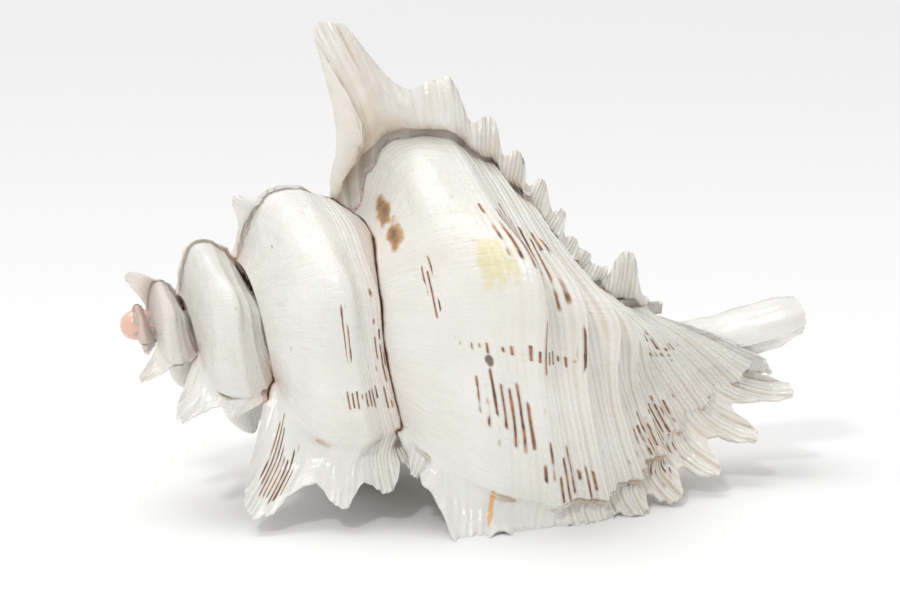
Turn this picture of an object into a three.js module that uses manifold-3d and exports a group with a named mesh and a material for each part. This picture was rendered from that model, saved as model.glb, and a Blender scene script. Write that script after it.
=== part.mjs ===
import * as THREE from "three";
import Module from "manifold-3d";
import { mergeVertices } from "three/addons/utils/BufferGeometryUtils.js";

// All lengths in millimetres. +X runs from the apex to the canal, -Y is the side of the outer lip, +Z is up.
const shoulderAlong = 92;      // apex to the shoulder of the last whorl, at the lip
const shoulderRadius = 55;     // shoulder of the last whorl, from the coiling axis
const lipAngle = 122;          // where growth stopped, degrees from straight up towards -Y
const varixStep = 1 / 3;       // whorls between two varices
const segmentCount = 14;       // growth segments, each a third of a whorl and ending in a varix
const finThickness = 0.032;    // of the shoulder radius
const canalEnd = 194;          // tip of the siphonal canal, along X
const canalRadius = 8.6;
const restHeight = -45.5;      // floor level below the coiling axis
const slotWidth = 5;           // open slot under the siphonal canal

// Cross-section of a whorl in shoulder units, from the suture to the neck: [along, radius].
const profile = [
  [0.74, 0.64], [0.78, 0.71], [0.84, 0.79], [0.90, 0.88], [0.96, 0.97], [1.03, 1.01], [1.11, 1.01], [1.20, 0.97],
  [1.30, 0.89], [1.40, 0.77], [1.49, 0.62], [1.58, 0.47], [1.69, 0.34], [1.82, 0.24], [1.96, 0.16],
];

// Fronds of a varix: [place on the profile, half width, length, direction, fold, width left at the tip].
// Direction is in degrees from the canal; 90 stands straight out from the axis.
const lipFronds = [
  [0.09, 0.04, 0.1, 115, 0.5, 0.5], [0.215, 0.052, 0.38, 104, 0.8, 0.95], [0.315, 0.05, 0.37, 93, 0.8, 0.95],
  [0.425, 0.054, 0.22, 86, 1.0, 1.0], [0.525, 0.052, 0.19, 80, 1.0, 1.0], [0.63, 0.052, 0.26, 70, 1.0, 1.0],
  [0.73, 0.048, 0.33, 56, 1.0, 0.95], [0.825, 0.044, 0.36, 43, 1.0, 0.9], [0.92, 0.042, 0.34, 29, 1.0, 0.9],
];
const topFronds = [
  [0.195, 0.095, 0.76, 115, 1.3, 1.1], [0.335, 0.06, 0.33, 92, 0.9, 1.05], [0.43, 0.044, 0.25, 84, 0.9, 0.9],
  [0.505, 0.034, 0.2, 76, 0.9, 0.8], [0.575, 0.032, 0.18, 67, 0.9, 0.8], [0.645, 0.03, 0.15, 59, 0.9, 0.8],
  [0.71, 0.03, 0.1, 56, 0.9, 0.7], [0.9, 0.046, 0.3, 80, 0.9, 0.9],
];
const backFronds = [
  [0.1, 0.04, 0.12, 120, 0.5, 0.5], [0.225, 0.075, 0.97, 100, 0.9, 0.55], [0.33, 0.04, 0.44, 90, 1.0, 0.6],
  [0.43, 0.042, 0.34, 82, 1.0, 0.8], [0.53, 0.042, 0.36, 70, 1.0, 0.8], [0.63, 0.04, 0.3, 60, 1.0, 0.8],
  [0.73, 0.038, 0.24, 50, 1.0, 0.8], [0.82, 0.036, 0.2, 46, 1.0, 0.8],
];
const innerLipFronds = [
  [0.12, 0.115, 0.6, 122, 0.8, 1.0], [0.29, 0.055, 0.3, 102, 0.8, 1.0], [0.39, 0.05, 0.24, 88, 0.8, 1.0],
  [0.49, 0.045, 0.2, 78, 1.0, 0.9],
];
const spireTopFronds = [
  [0.15, 0.06, 0.22, 142, 0.8, 0.8], [0.27, 0.06, 0.08, 118, 0.8, 0.8], [0.37, 0.05, 0.06, 98, 1.0, 0.6],
];
const spireBackFronds = [
  [0.2, 0.07, 0.34, 118, 1.0, 0.7], [0.34, 0.05, 0.16, 98, 1.0, 0.6], [0.45, 0.04, 0.12, 84, 1.0, 0.7],
];
const spireLipFronds = [
  [0.11, 0.12, 0.52, 133, 0.8, 1.0], [0.31, 0.07, 0.22, 110, 0.8, 0.9], [0.46, 0.05, 0.14, 88, 1.0, 0.7],
];
const spineFronds = [
  [0.17, 0.125, 0.98, 150, 0.8, 1.15], [0.36, 0.06, 0.1, 104, 1.0, 0.7],
];
const stubFronds = [
  [0.17, 0.12, 0.74, 142, 0.8, 0.9], [0.36, 0.06, 0.1, 104, 1.0, 0.7],
];
const budFronds = [
  [0.3, 0.06, 0.04, 100, 0.5, 0.7],
];

// Each varix: its fronds, how its fin leans at root and edge (degrees from the growth direction),
// and how strong its low fin, its knobs and its ridge are.
const varices = {
  lip: { fronds: lipFronds, lean: [40, 97], low: 0.16, knob: 0.15, ridge: 0.14 },
  top: { fronds: topFronds, lean: [38, 112], low: 0.14, knob: 0.15, ridge: 0.12 },
  back: { fronds: backFronds, lean: [72, 132], low: 0.1, knob: 0.0, ridge: 0.03 },
  innerLip: { fronds: innerLipFronds, lean: [34, 84], low: 0.28, knob: 0.08, ridge: 0.06 },
  spireTop: { fronds: spireTopFronds, lean: [38, 112], low: 0.05, knob: 0.12, ridge: 0.06 },
  spireBack: { fronds: spireBackFronds, lean: [38, 112], low: 0.08, knob: 0.12, ridge: 0.06 },
  spireLip: { fronds: spireLipFronds, lean: [42, 90], low: 0.14, knob: 0.12, ridge: 0.06 },
  spine: { fronds: spineFronds, lean: [38, 100], low: 0.05, knob: 0.1, ridge: 0.05 },
  stub: { fronds: stubFronds, lean: [38, 100], low: 0.05, knob: 0.1, ridge: 0.05 },
  bud: { fronds: budFronds, lean: [38, 112], low: 0.03, knob: 0.05, ridge: 0.03 },
};

// The varix that ends each growth segment, from the lip back to the apex.
const varixOrder = [
  "lip", "top", "back", "innerLip", "spireTop", "spireBack", "spireLip",
  "bud", "spireBack", "stub", "spine", "bud", "bud", "bud",
];

const radians = THREE.MathUtils.degToRad;
const smooth = (low, high, value) => THREE.MathUtils.smoothstep(value, low, high);
const bell = (value, centre, width) => Math.exp(-(((value - centre) / width) ** 2));
const along = (n) => shoulderAlong * Math.exp(0.525 * n - 0.05 * n * n);
const radius = (n) => shoulderRadius * Math.exp(0.26 * n - 0.065 * n * n);

const profileCurve = new THREE.SplineCurve(profile.map(([x, r]) => new THREE.Vector2(x, r)));
profileCurve.arcLengthDivisions = 400;

function profileAt(s) {
  const point = profileCurve.getPointAt(s);
  const tangent = profileCurve.getTangentAt(s);
  return { x: point.x, r: point.y, dx: tangent.x, dr: tangent.y };
}

// The axis sags a little under the last whorl and turns up again along the canal.
function bend(x, y, z) {
  const sag = 11 * smooth(70, 140, x);
  const lift = 10 * Math.max((x - 150) / 50, 0) ** 1.7 + 3 * (1 - smooth(0, 90, x));
  return [x, y, z - sag + lift];
}

function place(x, r, ahead, n) {
  const angle = radians(lipAngle) + 2 * Math.PI * n;
  const y = -r * Math.sin(angle) - ahead * Math.cos(angle);
  const z = r * Math.cos(angle) - ahead * Math.sin(angle);
  return bend(x, y, z);
}

// A closed body from a grid of points and one inner point that closes all four of its edges.
function closedGrid(rows, hinge, wasm) {
  const height = rows.length;
  const width = rows[0].length;
  const points = rows.flat();
  points.push(hinge);
  const last = points.length - 1;
  const at = (i, j) => i * width + j;
  const triangles = [];
  for (let i = 0; i < height - 1; i++) {
    for (let j = 0; j < width - 1; j++) {
      triangles.push([at(i, j), at(i + 1, j), at(i + 1, j + 1)], [at(i, j), at(i + 1, j + 1), at(i, j + 1)]);
    }
    triangles.push([at(i + 1, 0), at(i, 0), last], [at(i, width - 1), at(i + 1, width - 1), last]);
  }
  for (let j = 0; j < width - 1; j++) {
    triangles.push([at(0, j), at(0, j + 1), last], [at(height - 1, j + 1), at(height - 1, j), last]);
  }
  return bodyOf(points, triangles, wasm);
}

// A closed body from rings of points, with a centre point at each end.
function closedRings(rings, wasm) {
  const count = rings[0].length;
  const points = rings.flat();
  const middle = (ring) => [0, 1, 2].map((axis) => ring.reduce((sum, p) => sum + p[axis], 0) / count);
  points.push(middle(rings[0]), middle(rings[rings.length - 1]));
  const first = points.length - 2;
  const triangles = [];
  for (let j = 0; j < count; j++) {
    const next = (j + 1) % count;
    for (let i = 0; i < rings.length - 1; i++) {
      const a = i * count;
      const b = a + count;
      triangles.push([a + j, b + j, b + next], [a + j, b + next, a + next]);
    }
    const end = (rings.length - 1) * count;
    triangles.push([j, next, first], [end + next, end + j, first + 1]);
  }
  return bodyOf(points, triangles, wasm);
}

function signedVolume(points, triangles) {
  const a = new THREE.Vector3();
  const b = new THREE.Vector3();
  const c = new THREE.Vector3();
  let total = 0;
  for (const [i, j, k] of triangles) {
    a.fromArray(points[i]);
    b.fromArray(points[j]);
    c.fromArray(points[k]);
    total += a.dot(b.cross(c));
  }
  return total;
}

function bodyOf(points, triangles, wasm) {
  const inward = signedVolume(points, triangles) < 0;
  const facing = inward ? triangles.map(([i, j, k]) => [i, k, j]) : triangles;
  const mesh = new wasm.Mesh({
    numProp: 3,
    vertProperties: new Float32Array(points.flat()),
    triVerts: new Uint32Array(facing.flat()),
  });
  return new wasm.Manifold(mesh);
}

const varixOf = (k) => varices[varixOrder[k]];

// Places along the profile that follow the fronds of the varix.
function columnsOf(k) {
  const stops = [0, 0.04, 0.97, 1];
  const cuts = k < 3 ? [-0.85, -0.4, 0, 0.4, 0.85] : [-0.8, 0, 0.8];
  for (const [centre, half] of varixOf(k).fronds) cuts.forEach((cut) => stops.push(centre + cut * half));
  for (let s = 0.16; s < 1; s += k < 3 ? 0.07 : 0.1) stops.push(s);
  stops.sort((a, b) => a - b);
  const gap = k < 3 ? 0.014 : 0.03;
  const kept = [0];
  for (const s of stops) if (s - kept[kept.length - 1] > gap && s < 1 - gap) kept.push(s);
  kept.push(1);
  return kept;
}

// The whorl wall with its swelling towards the varix, its knobs and its spiral cords.
function wallPoint(n, s, k) {
  const end = -k * varixStep;
  const varix = varixOf(k);
  const p = profileAt(s);
  const xs = along(n);
  const rs = radius(n);
  const tx = p.dx * xs;
  const tr = p.dr * rs;
  const length = Math.hypot(tx, tr);
  const outX = -tr / length;
  const outR = tx / length;
  const before = (end - n) / varixStep;
  const fade = smooth(0, 0.12, s);
  const swell = 0.1 * Math.exp(-before / 0.16) * fade * (1 - 0.6 * smooth(0.6, 0.95, s));
  const knob = varix.knob * bell(before, 0.48, 0.13) * bell(s, 0.32, 0.055) * fade;
  const cords = 0.5 + 0.5 * Math.cos((s - 0.33) * 2 * Math.PI * 10);
  const knobRow = bell(before, 0.45, 0.13) * smooth(0.27, 0.4, s) * (1 - smooth(0.55, 0.9, s));
  const ridge = varix.ridge * knobRow * (0.25 + 0.75 * cords ** 1.5);
  const rise = 0.038 * smooth(0.25, 0.36, s) * (0.6 + 0.4 * Math.exp(-before / 0.3));
  const lift = rs * (swell + knob + ridge + rise * cords ** 1.4);
  const tuck = Math.min(Math.max(-0.12 * n - 0.03, 0), 0.3) * (1 - smooth(0, 0.25, s));
  return { x: p.x * xs + outX * lift, r: (p.r - tuck) * rs + outR * lift, outX, outR, xs, rs };
}

// The raised fin of the varix: w runs from its root to its edge, front is 1 on the face turned to growth.
function finPoint(k, n, s, w, front) {
  const base = wallPoint(n, s, k);
  const varix = varixOf(k);
  const [from, to] = varix.lean;
  const start = radians(from);
  const turn = radians(to) - start;
  const angle = start + turn * w;
  const ahead = (Math.sin(angle) - Math.sin(start)) / turn;
  const out = (Math.cos(start) - Math.cos(angle)) / turn;
  const low = varix.low * Math.max(smooth(0, 0.1, s), 0.15) * (1 - 0.5 * smooth(0.6, 1, s));
  let x = base.x + base.outX * out * low * base.rs;
  let r = base.r + base.outR * out * low * base.rs;
  let t = ahead * low * base.rs;
  let total = 0;
  const sum = [0, 0, 0];
  for (const [centre, half, height, direction, fold, tip] of varix.fronds) {
    const q = (s - centre) / half;
    const core = Math.exp(-(Math.abs(q / 1.12) ** 5));
    const tall = (low + height * Math.exp(-(Math.abs(q) ** 3.2))) * base.rs;
    const c = profileAt(centre);
    const arc = Math.hypot(c.dx * base.xs, c.dr * base.rs) * profileCurve.getLength();
    const aside = (s - centre) * arc * (1 - (1 - tip) * w);
    const heading = radians(direction);
    const crease = fold * 0.5 * half * arc * (1 - q * q) * core * w;
    sum[0] += core * (c.x * base.xs + Math.cos(heading) * out * tall + Math.sin(heading) * aside);
    sum[1] += core * (c.r * base.rs + Math.sin(heading) * out * tall - Math.cos(heading) * aside);
    sum[2] += core * (ahead * tall - crease);
    total += core;
  }
  const mix = Math.min(total, 1) * smooth(0, 0.55, w);
  const share = Math.max(total, 1e-6);
  x += (sum[0] / share - x) * mix;
  r += (sum[1] / share - r) * mix;
  t += (sum[2] / share - t) * mix;
  return place(x, r, t + front * finThickness * base.rs * (1 - 0.55 * w), n);
}

function growthSegment(k, wasm) {
  const end = -k * varixStep;
  const begin = end - varixStep - 0.03;
  const steps = k < 3 ? 9 : k < 7 ? 7 : 5;
  const finSteps = k < 3 ? 4 : k < 7 ? 3 : 2;
  const columns = columnsOf(k);
  const rows = [];
  for (let i = 0; i <= steps; i++) {
    const n = begin + ((end - begin) * i) / steps;
    rows.push(columns.map((s) => {
      const wall = wallPoint(n, s, k);
      return place(wall.x, wall.r, 0, n);
    }));
  }
  for (let i = 1; i <= finSteps; i++) rows.push(columns.map((s) => finPoint(k, end, s, i / finSteps, 0)));
  for (let i = finSteps; i >= 0; i -= 2) rows.push(columns.map((s) => finPoint(k, end, s, i / finSteps, 1)));
  const middle = along((begin + end) / 2);
  return closedGrid(rows, bend(middle, 0, 0), wasm);
}

// The pillar about the coiling axis, running out into the siphonal canal.
function pillar(wasm) {
  const stations = [2.6, 2.9, 3.6, 4.8, 6];
  for (let i = 1; i <= 22; i++) stations.push(6 + ((canalEnd - 8) * i) / 22);
  stations.push(canalEnd);
  const rings = stations.map((x) => {
    const dome = 3.4 * Math.sqrt(1 - (Math.max(6 - x, 0) / 3.5) ** 2);
    const inside = Math.min(Math.max(dome, x > 6 ? 0.19 * x : 0), canalRadius);
    const widen = 1 + 0.25 * smooth(150, 180, x);
    const end = (1 - 0.2 * smooth(canalEnd - 6, canalEnd, x)) * (1 - 0.16 * bell(x, 158, 16));
    const ring = [];
    for (let j = 0; j < 14; j++) {
      const a = (2 * Math.PI * j) / 14;
      ring.push(bend(x, -inside * widen * end * Math.sin(a), (inside / widen) * end * Math.cos(a)));
    }
    return ring;
  });
  return closedRings(rings, wasm);
}

// The open mouth: a tapering hollow that follows the growth of the last half whorl.
function mouthHollow(wasm) {
  const rings = [];
  for (let i = 0; i <= 11; i++) {
    const n = -0.42 + (0.465 * i) / 11;
    const size = 0.45 + 0.55 * smooth(-0.42, -0.05, n);
    const ring = [];
    for (let j = 0; j < 18; j++) {
      const a = (2 * Math.PI * j) / 18;
      const x = (1.12 + 0.30 * size * Math.cos(a)) * along(n);
      const r = (0.58 + 0.34 * size * Math.sin(a)) * radius(n);
      ring.push(place(x, r, 0, n));
    }
    rings.push(ring);
  }
  return closedRings(rings, wasm);
}

// The open slot from the mouth to the tip of the canal.
function canalSlot(wasm) {
  const facing = radians(lipAngle + 90);
  const rings = [];
  for (let i = 0; i <= 10; i++) {
    const x = 118 + ((canalEnd + 4 - 118) * i) / 10;
    const half = (slotWidth / 2) * (1 - 0.3 * (i / 10));
    const ring = [];
    for (const [side, depth] of [[-1, 16], [-1, 0], [-0.6, -2], [0.6, -2], [1, 0], [1, 16]]) {
      const y = -depth * Math.sin(facing) + side * half * Math.cos(facing);
      const z = depth * Math.cos(facing) + side * half * Math.sin(facing);
      ring.push(bend(x, y, z));
    }
    rings.push(ring);
  }
  return closedRings(rings, wasm);
}

function floorCut(wasm) {
  const below = new THREE.BoxGeometry(400, 400, 100);
  const spots = below.getAttribute("position");
  const corners = [];
  const index = new Map();
  const remap = [];
  for (let i = 0; i < spots.count; i++) {
    const key = [spots.getX(i), spots.getY(i), spots.getZ(i)];
    const name = key.join();
    if (!index.has(name)) {
      index.set(name, corners.length);
      corners.push([key[0], key[1], key[2] + restHeight - 50]);
    }
    remap.push(index.get(name));
  }
  const triangles = [];
  const order = below.getIndex().array;
  for (let i = 0; i < order.length; i += 3) triangles.push([0, 1, 2].map((j) => remap[order[i + j]]));
  return bodyOf(corners, triangles, wasm);
}

async function shellBody() {
  const wasm = await Module();
  wasm.setup();
  const pieces = [];
  for (let k = 0; k < segmentCount; k++) pieces.push(growthSegment(k, wasm));
  pieces.push(pillar(wasm));
  let body = pieces[0];
  for (const piece of pieces.slice(1)) body = body.add(piece);
  body = body.subtract(mouthHollow(wasm)).subtract(canalSlot(wasm)).subtract(floorCut(wasm)).simplify(0.35);
  return body;
}

// Only the outermost surface: small hollows shut in between whorls are left solid.
function outerSurface(mesh) {
  const parent = [...Array(mesh.vertProperties.length / 3).keys()];
  const rootOf = (i) => {
    let j = i;
    while (parent[j] !== j) j = parent[j] = parent[parent[j]];
    return j;
  };
  const triangles = [];
  for (let i = 0; i < mesh.triVerts.length; i += 3) {
    const [a, b, c] = mesh.triVerts.slice(i, i + 3);
    triangles.push([a, b, c]);
    parent[rootOf(a)] = rootOf(b);
    parent[rootOf(c)] = rootOf(b);
  }
  const sizes = new Map();
  for (const [a] of triangles) sizes.set(rootOf(a), (sizes.get(rootOf(a)) ?? 0) + 1);
  const main = [...sizes.entries()].sort((p, q) => q[1] - p[1])[0][0];
  return triangles.filter(([a]) => rootOf(a) === main).flat();
}

function shellGeometry(body) {
  const mesh = body.getMesh();
  const whole = new THREE.BufferGeometry();
  whole.setAttribute("position", new THREE.BufferAttribute(new Float32Array(mesh.vertProperties), 3));
  whole.setIndex(outerSurface(mesh));
  const geometry = whole.toNonIndexed();
  const merged = mergeVertices(geometry, 1e-5);
  merged.computeBoundingBox();
  const box = merged.boundingBox;
  merged.translate(-(box.min.x + box.max.x) / 2, -(box.min.y + box.max.y) / 2, -box.min.z);
  merged.computeVertexNormals();
  return merged;
}

const shellMaterial = new THREE.MeshStandardMaterial({ color: 0xefe6d6, roughness: 0.35, metalness: 0 });
const shell = new THREE.Mesh(shellGeometry(await shellBody()), shellMaterial);
shell.name = "murex_shell";
const group = new THREE.Group();
group.name = "murex_shell_part";
group.add(shell);
export default group;
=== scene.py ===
import math
import time
import bmesh
import bpy
import numpy as np
from mathutils import Matrix, Vector
from mathutils.kdtree import KDTree


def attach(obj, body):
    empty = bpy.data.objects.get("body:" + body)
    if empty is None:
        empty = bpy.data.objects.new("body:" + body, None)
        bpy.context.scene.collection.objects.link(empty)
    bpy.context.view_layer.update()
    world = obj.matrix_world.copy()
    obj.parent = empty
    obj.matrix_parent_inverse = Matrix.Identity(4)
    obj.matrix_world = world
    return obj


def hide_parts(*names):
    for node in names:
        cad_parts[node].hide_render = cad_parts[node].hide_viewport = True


startTime = time.time()
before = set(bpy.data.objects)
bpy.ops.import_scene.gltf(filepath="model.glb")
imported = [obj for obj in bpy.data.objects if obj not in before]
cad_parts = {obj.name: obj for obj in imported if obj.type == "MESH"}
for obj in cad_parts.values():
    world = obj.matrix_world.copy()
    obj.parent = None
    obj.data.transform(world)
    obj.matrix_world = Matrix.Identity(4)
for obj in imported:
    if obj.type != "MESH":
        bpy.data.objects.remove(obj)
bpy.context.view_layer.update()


def report(words):
    print(f"{time.time() - startTime:6.1f} s  {words}")


report("frame loaded")


cameraSettings = {
    "azimuth": -13.0,       # degrees, apex end a little nearer
    "elevation": 11.0,
    "distance": 0.6,
    "lens": 85.0,
    "target": (-0.0044, 0.0005, 0.0505),
}


def makeCamera():
    azimuth = math.radians(cameraSettings["azimuth"])
    elevation = math.radians(cameraSettings["elevation"])
    back = Vector((
        math.sin(azimuth) * math.cos(elevation),
        -math.cos(azimuth) * math.cos(elevation),
        math.sin(elevation),
    ))
    data = bpy.data.cameras.new("camera")
    data.lens = cameraSettings["lens"]
    data.sensor_width = 36.0
    data.clip_start = 0.01
    data.clip_end = 20.0
    camera = bpy.data.objects.new("camera", data)
    camera.location = Vector(cameraSettings["target"]) + back * cameraSettings["distance"]
    camera.rotation_euler = (-back).to_track_quat("-Z", "Y").to_euler()
    bpy.context.scene.collection.objects.link(camera)
    bpy.context.scene.camera = camera


makeCamera()


class Field:
    def __init__(self, tree, socket):
        self.tree = tree
        self.socket = socket

    def put(self, operation, *others):
        node = self.tree.nodes.new("ShaderNodeMath")
        node.operation = operation
        for slot, value in enumerate((self, *others)):
            if isinstance(value, Field):
                self.tree.links.new(value.socket, node.inputs[slot])
            else:
                node.inputs[slot].default_value = value
        return Field(self.tree, node.outputs[0])

    def __add__(self, other):
        return self.put("ADD", other)

    def __mul__(self, other):
        return self.put("MULTIPLY", other)

    def __sub__(self, other):
        return self.put("SUBTRACT", other)

    def __rsub__(self, other):
        return (self * -1.0).put("ADD", other)

    def __truediv__(self, other):
        return self.put("DIVIDE", other)

    def __pow__(self, other):
        return self.put("POWER", other)

    def __neg__(self):
        return self * -1.0

    def exp(self):
        return self.put("EXPONENT")

    def sin(self):
        return self.put("SINE")

    def cos(self):
        return self.put("COSINE")

    def floor(self):
        return self.put("FLOOR")

    def absolute(self):
        return self.put("ABSOLUTE")

    def least(self, other):
        return self.put("MINIMUM", other)

    def most(self, other):
        return self.put("MAXIMUM", other)

    def above(self, other):
        return self.put("GREATER_THAN", other)

    def below(self, other):
        return self.put("LESS_THAN", other)

    def bell(self, centre, width):
        return (((self - centre) / width) ** 2.0 * -1.0).exp()

    def smooth(self, low, high, outLow=0.0, outHigh=1.0):
        node = self.tree.nodes.new("ShaderNodeMapRange")
        node.interpolation_type = "SMOOTHSTEP"
        self.tree.links.new(self.socket, node.inputs[0])
        for slot, value in enumerate((low, high, outLow, outHigh)):
            node.inputs[slot + 1].default_value = value
        return Field(self.tree, node.outputs[0])

    def mix(self, other, share):
        return self + (other - self) * share


def vector(tree, *parts):
    node = tree.nodes.new("ShaderNodeCombineXYZ")
    for slot, part in enumerate(parts):
        if isinstance(part, Field):
            tree.links.new(part.socket, node.inputs[slot])
        else:
            node.inputs[slot].default_value = part
    return node.outputs[0]


def noise(tree, place, scale, detail=2.0, roughness=0.5):
    node = tree.nodes.new("ShaderNodeTexNoise")
    tree.links.new(place, node.inputs["Vector"])
    node.inputs["Scale"].default_value = scale
    node.inputs["Detail"].default_value = detail
    node.inputs["Roughness"].default_value = roughness
    return Field(tree, node.outputs[0]) - 0.5


def newTree(name, inputs):
    tree = bpy.data.node_groups.new(name, "GeometryNodeTree")
    tree.interface.new_socket("Geometry", in_out="OUTPUT", socket_type="NodeSocketGeometry")
    for label, kind, value in inputs:
        socket = tree.interface.new_socket(label, in_out="INPUT", socket_type=kind)
        socket.default_value = value
    source = tree.nodes.new("NodeGroupInput")
    sink = tree.nodes.new("NodeGroupOutput")
    given = {label: Field(tree, source.outputs[label]) for label, kind, value in inputs}
    return tree, given, sink


# lengths are in millimetres until the mesh is moved into the frame
growth = {
    "shoulderAlong": 92.0,     # apex to the shoulder of the last whorl
    "shoulderRadius": 55.0,
    "alongRate": 0.525,        # growth for each whorl, and how much it slows down
    "alongSlowing": 0.05,
    "radiusRate": 0.26,
    "radiusSlowing": 0.065,
    "lipAngle": 122.0,         # degrees from straight up towards -Y
    "segments": 14,
    "perWhorl": 3.0,
    "overlap": 0.03,           # whorls that a segment reaches back into the one before
    "finThickness": 0.032,     # of the shoulder radius
    "middleX": 96.66,          # middle of the whole shell, from the apex and from the coiling axis
    "middleY": 4.92,
    "restHeight": 45.5,        # coiling axis above the floor
}

# counts across a whole profile and heights in shoulder radii
sculpture = {
    "start": 0.33,             # place on the profile where cords, ribs and threads are in step
    "cords": 10,
    "cordHeight": 0.046,
    "ribs": 30.0,
    "ribHeight": 0.018,
    "threads": 90.0,
    "threadHeight": 0.005,
    "growthLineHeight": 0.010,
    "lumpHeight": 0.030,
    "flutes": 60.0,
    "teeth": 15.0,             # zigzags at the foot of a fin
    "push": 9.0,               # millimetres that the last seam moves along under the tall spine
}

# cross-section of a whorl in shoulder units, from the suture to the neck: along the axis, out from it
profilePoints = (
    (0.74, 0.64), (0.78, 0.71), (0.84, 0.79), (0.90, 0.88), (0.96, 0.97),
    (1.03, 1.01), (1.11, 1.01), (1.20, 0.97), (1.30, 0.89), (1.40, 0.77),
    (1.49, 0.62), (1.58, 0.47), (1.69, 0.34), (1.82, 0.24), (1.96, 0.16),
)

# place on the profile, half width, length, direction in degrees from the canal, fold, width left at the tip
lipFronds = (
    (0.09, 0.04, 0.1, 115, 0.5, 0.5), (0.215, 0.052, 0.38, 104, 0.8, 0.95),
    (0.315, 0.05, 0.37, 93, 0.8, 0.95),
    (0.425, 0.054, 0.22, 86, 1.0, 1.0), (0.525, 0.052, 0.19, 80, 1.0, 1.0), (0.63, 0.052, 0.26, 70, 1.0, 1.0),
    (0.73, 0.048, 0.33, 56, 1.0, 0.95), (0.825, 0.044, 0.36, 43, 1.0, 0.9), (0.92, 0.042, 0.34, 29, 1.0, 0.9),
)
topFronds = (
    (0.195, 0.095, 0.76, 115, 1.3, 1.1), (0.335, 0.06, 0.33, 92, 0.9, 1.05),
    (0.43, 0.044, 0.25, 84, 0.9, 0.9),
    (0.505, 0.034, 0.2, 76, 0.9, 0.8), (0.575, 0.032, 0.18, 67, 0.9, 0.8), (0.645, 0.03, 0.15, 59, 0.9, 0.8),
    (0.71, 0.03, 0.1, 56, 0.9, 0.7), (0.9, 0.046, 0.3, 80, 0.9, 0.9),
)
backFronds = (
    (0.1, 0.04, 0.12, 120, 0.5, 0.5), (0.225, 0.075, 0.97, 100, 0.9, 0.55), (0.33, 0.04, 0.44, 90, 1.0, 0.6),
    (0.43, 0.042, 0.34, 82, 1.0, 0.8), (0.53, 0.042, 0.36, 70, 1.0, 0.8), (0.63, 0.04, 0.3, 60, 1.0, 0.8),
    (0.73, 0.038, 0.24, 50, 1.0, 0.8), (0.82, 0.036, 0.2, 46, 1.0, 0.8),
)
innerLipFronds = (
    (0.12, 0.115, 0.6, 122, 0.8, 1.0), (0.29, 0.055, 0.3, 102, 0.8, 1.0), (0.39, 0.05, 0.24, 88, 0.8, 1.0),
    (0.49, 0.045, 0.2, 78, 1.0, 0.9),
)
spireTopFronds = (
    (0.15, 0.06, 0.22, 142, 0.8, 0.8), (0.27, 0.06, 0.08, 118, 0.8, 0.8), (0.37, 0.05, 0.06, 98, 1.0, 0.6),
)
spireBackFronds = (
    (0.2, 0.07, 0.34, 118, 1.0, 0.7), (0.34, 0.05, 0.16, 98, 1.0, 0.6), (0.45, 0.04, 0.12, 84, 1.0, 0.7),
)
spireLipFronds = (
    (0.11, 0.12, 0.52, 133, 0.8, 1.0), (0.31, 0.07, 0.22, 110, 0.8, 0.9), (0.46, 0.05, 0.14, 88, 1.0, 0.7),
)
spineFronds = (
    (0.17, 0.13, 0.80, 148, 0.8, 1.2), (0.36, 0.06, 0.1, 104, 1.0, 0.7),
)
stubFronds = (
    (0.17, 0.12, 0.74, 142, 0.8, 0.9), (0.36, 0.06, 0.1, 104, 1.0, 0.7),
)
budFronds = (
    (0.3, 0.06, 0.04, 100, 0.5, 0.7),
)

# each varix: its fronds, the lean of its fin at root and edge in degrees from the growth direction, and the
# strength of its low fin, cords, knob, ridge and zigzag foot
# curled is the place of the frond that rolls in, shelf is a raised band behind the varix,
# and pushed moves the segment's seam along
varices = {
    "lip": {
        "fronds": lipFronds, "lean": (40, 97), "low": 0.16, "cords": 1.0,
        "knob": 0.15, "ridge": 0.14, "zigzag": 0.0, "pushed": True,
    },
    "top": {
        "fronds": topFronds, "lean": (38, 112), "low": 0.14, "cords": 1.0,
        "knob": 0.15, "ridge": 0.12, "zigzag": 0.10, "curled": 0.195,
    },
    "back": {
        "fronds": backFronds, "lean": (72, 132), "low": 0.1, "cords": 1.0,
        "knob": 0.0, "ridge": 0.03, "zigzag": 0.04,
    },
    "innerLip": {
        "fronds": innerLipFronds, "lean": (34, 84), "low": 0.28, "cords": 0.5,
        "knob": 0.08, "ridge": 0.06, "zigzag": 0.04, "shelf": 0.16,
    },
    "spireTop": {
        "fronds": spireTopFronds, "lean": (38, 112), "low": 0.05, "cords": 0.4,
        "knob": 0.12, "ridge": 0.06, "zigzag": 0.04,
    },
    "spireBack": {
        "fronds": spireBackFronds, "lean": (38, 112), "low": 0.08, "cords": 0.4,
        "knob": 0.12, "ridge": 0.06, "zigzag": 0.04,
    },
    "spireLip": {
        "fronds": spireLipFronds, "lean": (42, 90), "low": 0.14, "cords": 0.4,
        "knob": 0.12, "ridge": 0.06, "zigzag": 0.04,
    },
    "spine": {
        "fronds": spineFronds, "lean": (38, 100), "low": 0.05, "cords": 0.4,
        "knob": 0.1, "ridge": 0.05, "zigzag": 0.04,
    },
    "stub": {
        "fronds": stubFronds, "lean": (38, 100), "low": 0.05, "cords": 0.4,
        "knob": 0.1, "ridge": 0.05, "zigzag": 0.04,
    },
    "bud": {
        "fronds": budFronds, "lean": (38, 112), "low": 0.03, "cords": 0.4,
        "knob": 0.05, "ridge": 0.03, "zigzag": 0.04,
    },
}
varixOrder = (
    "lip", "top", "back", "innerLip", "spireTop", "spireBack", "spireLip",
    "bud", "spireBack", "stub", "spine", "bud", "bud", "bud",
)

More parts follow.
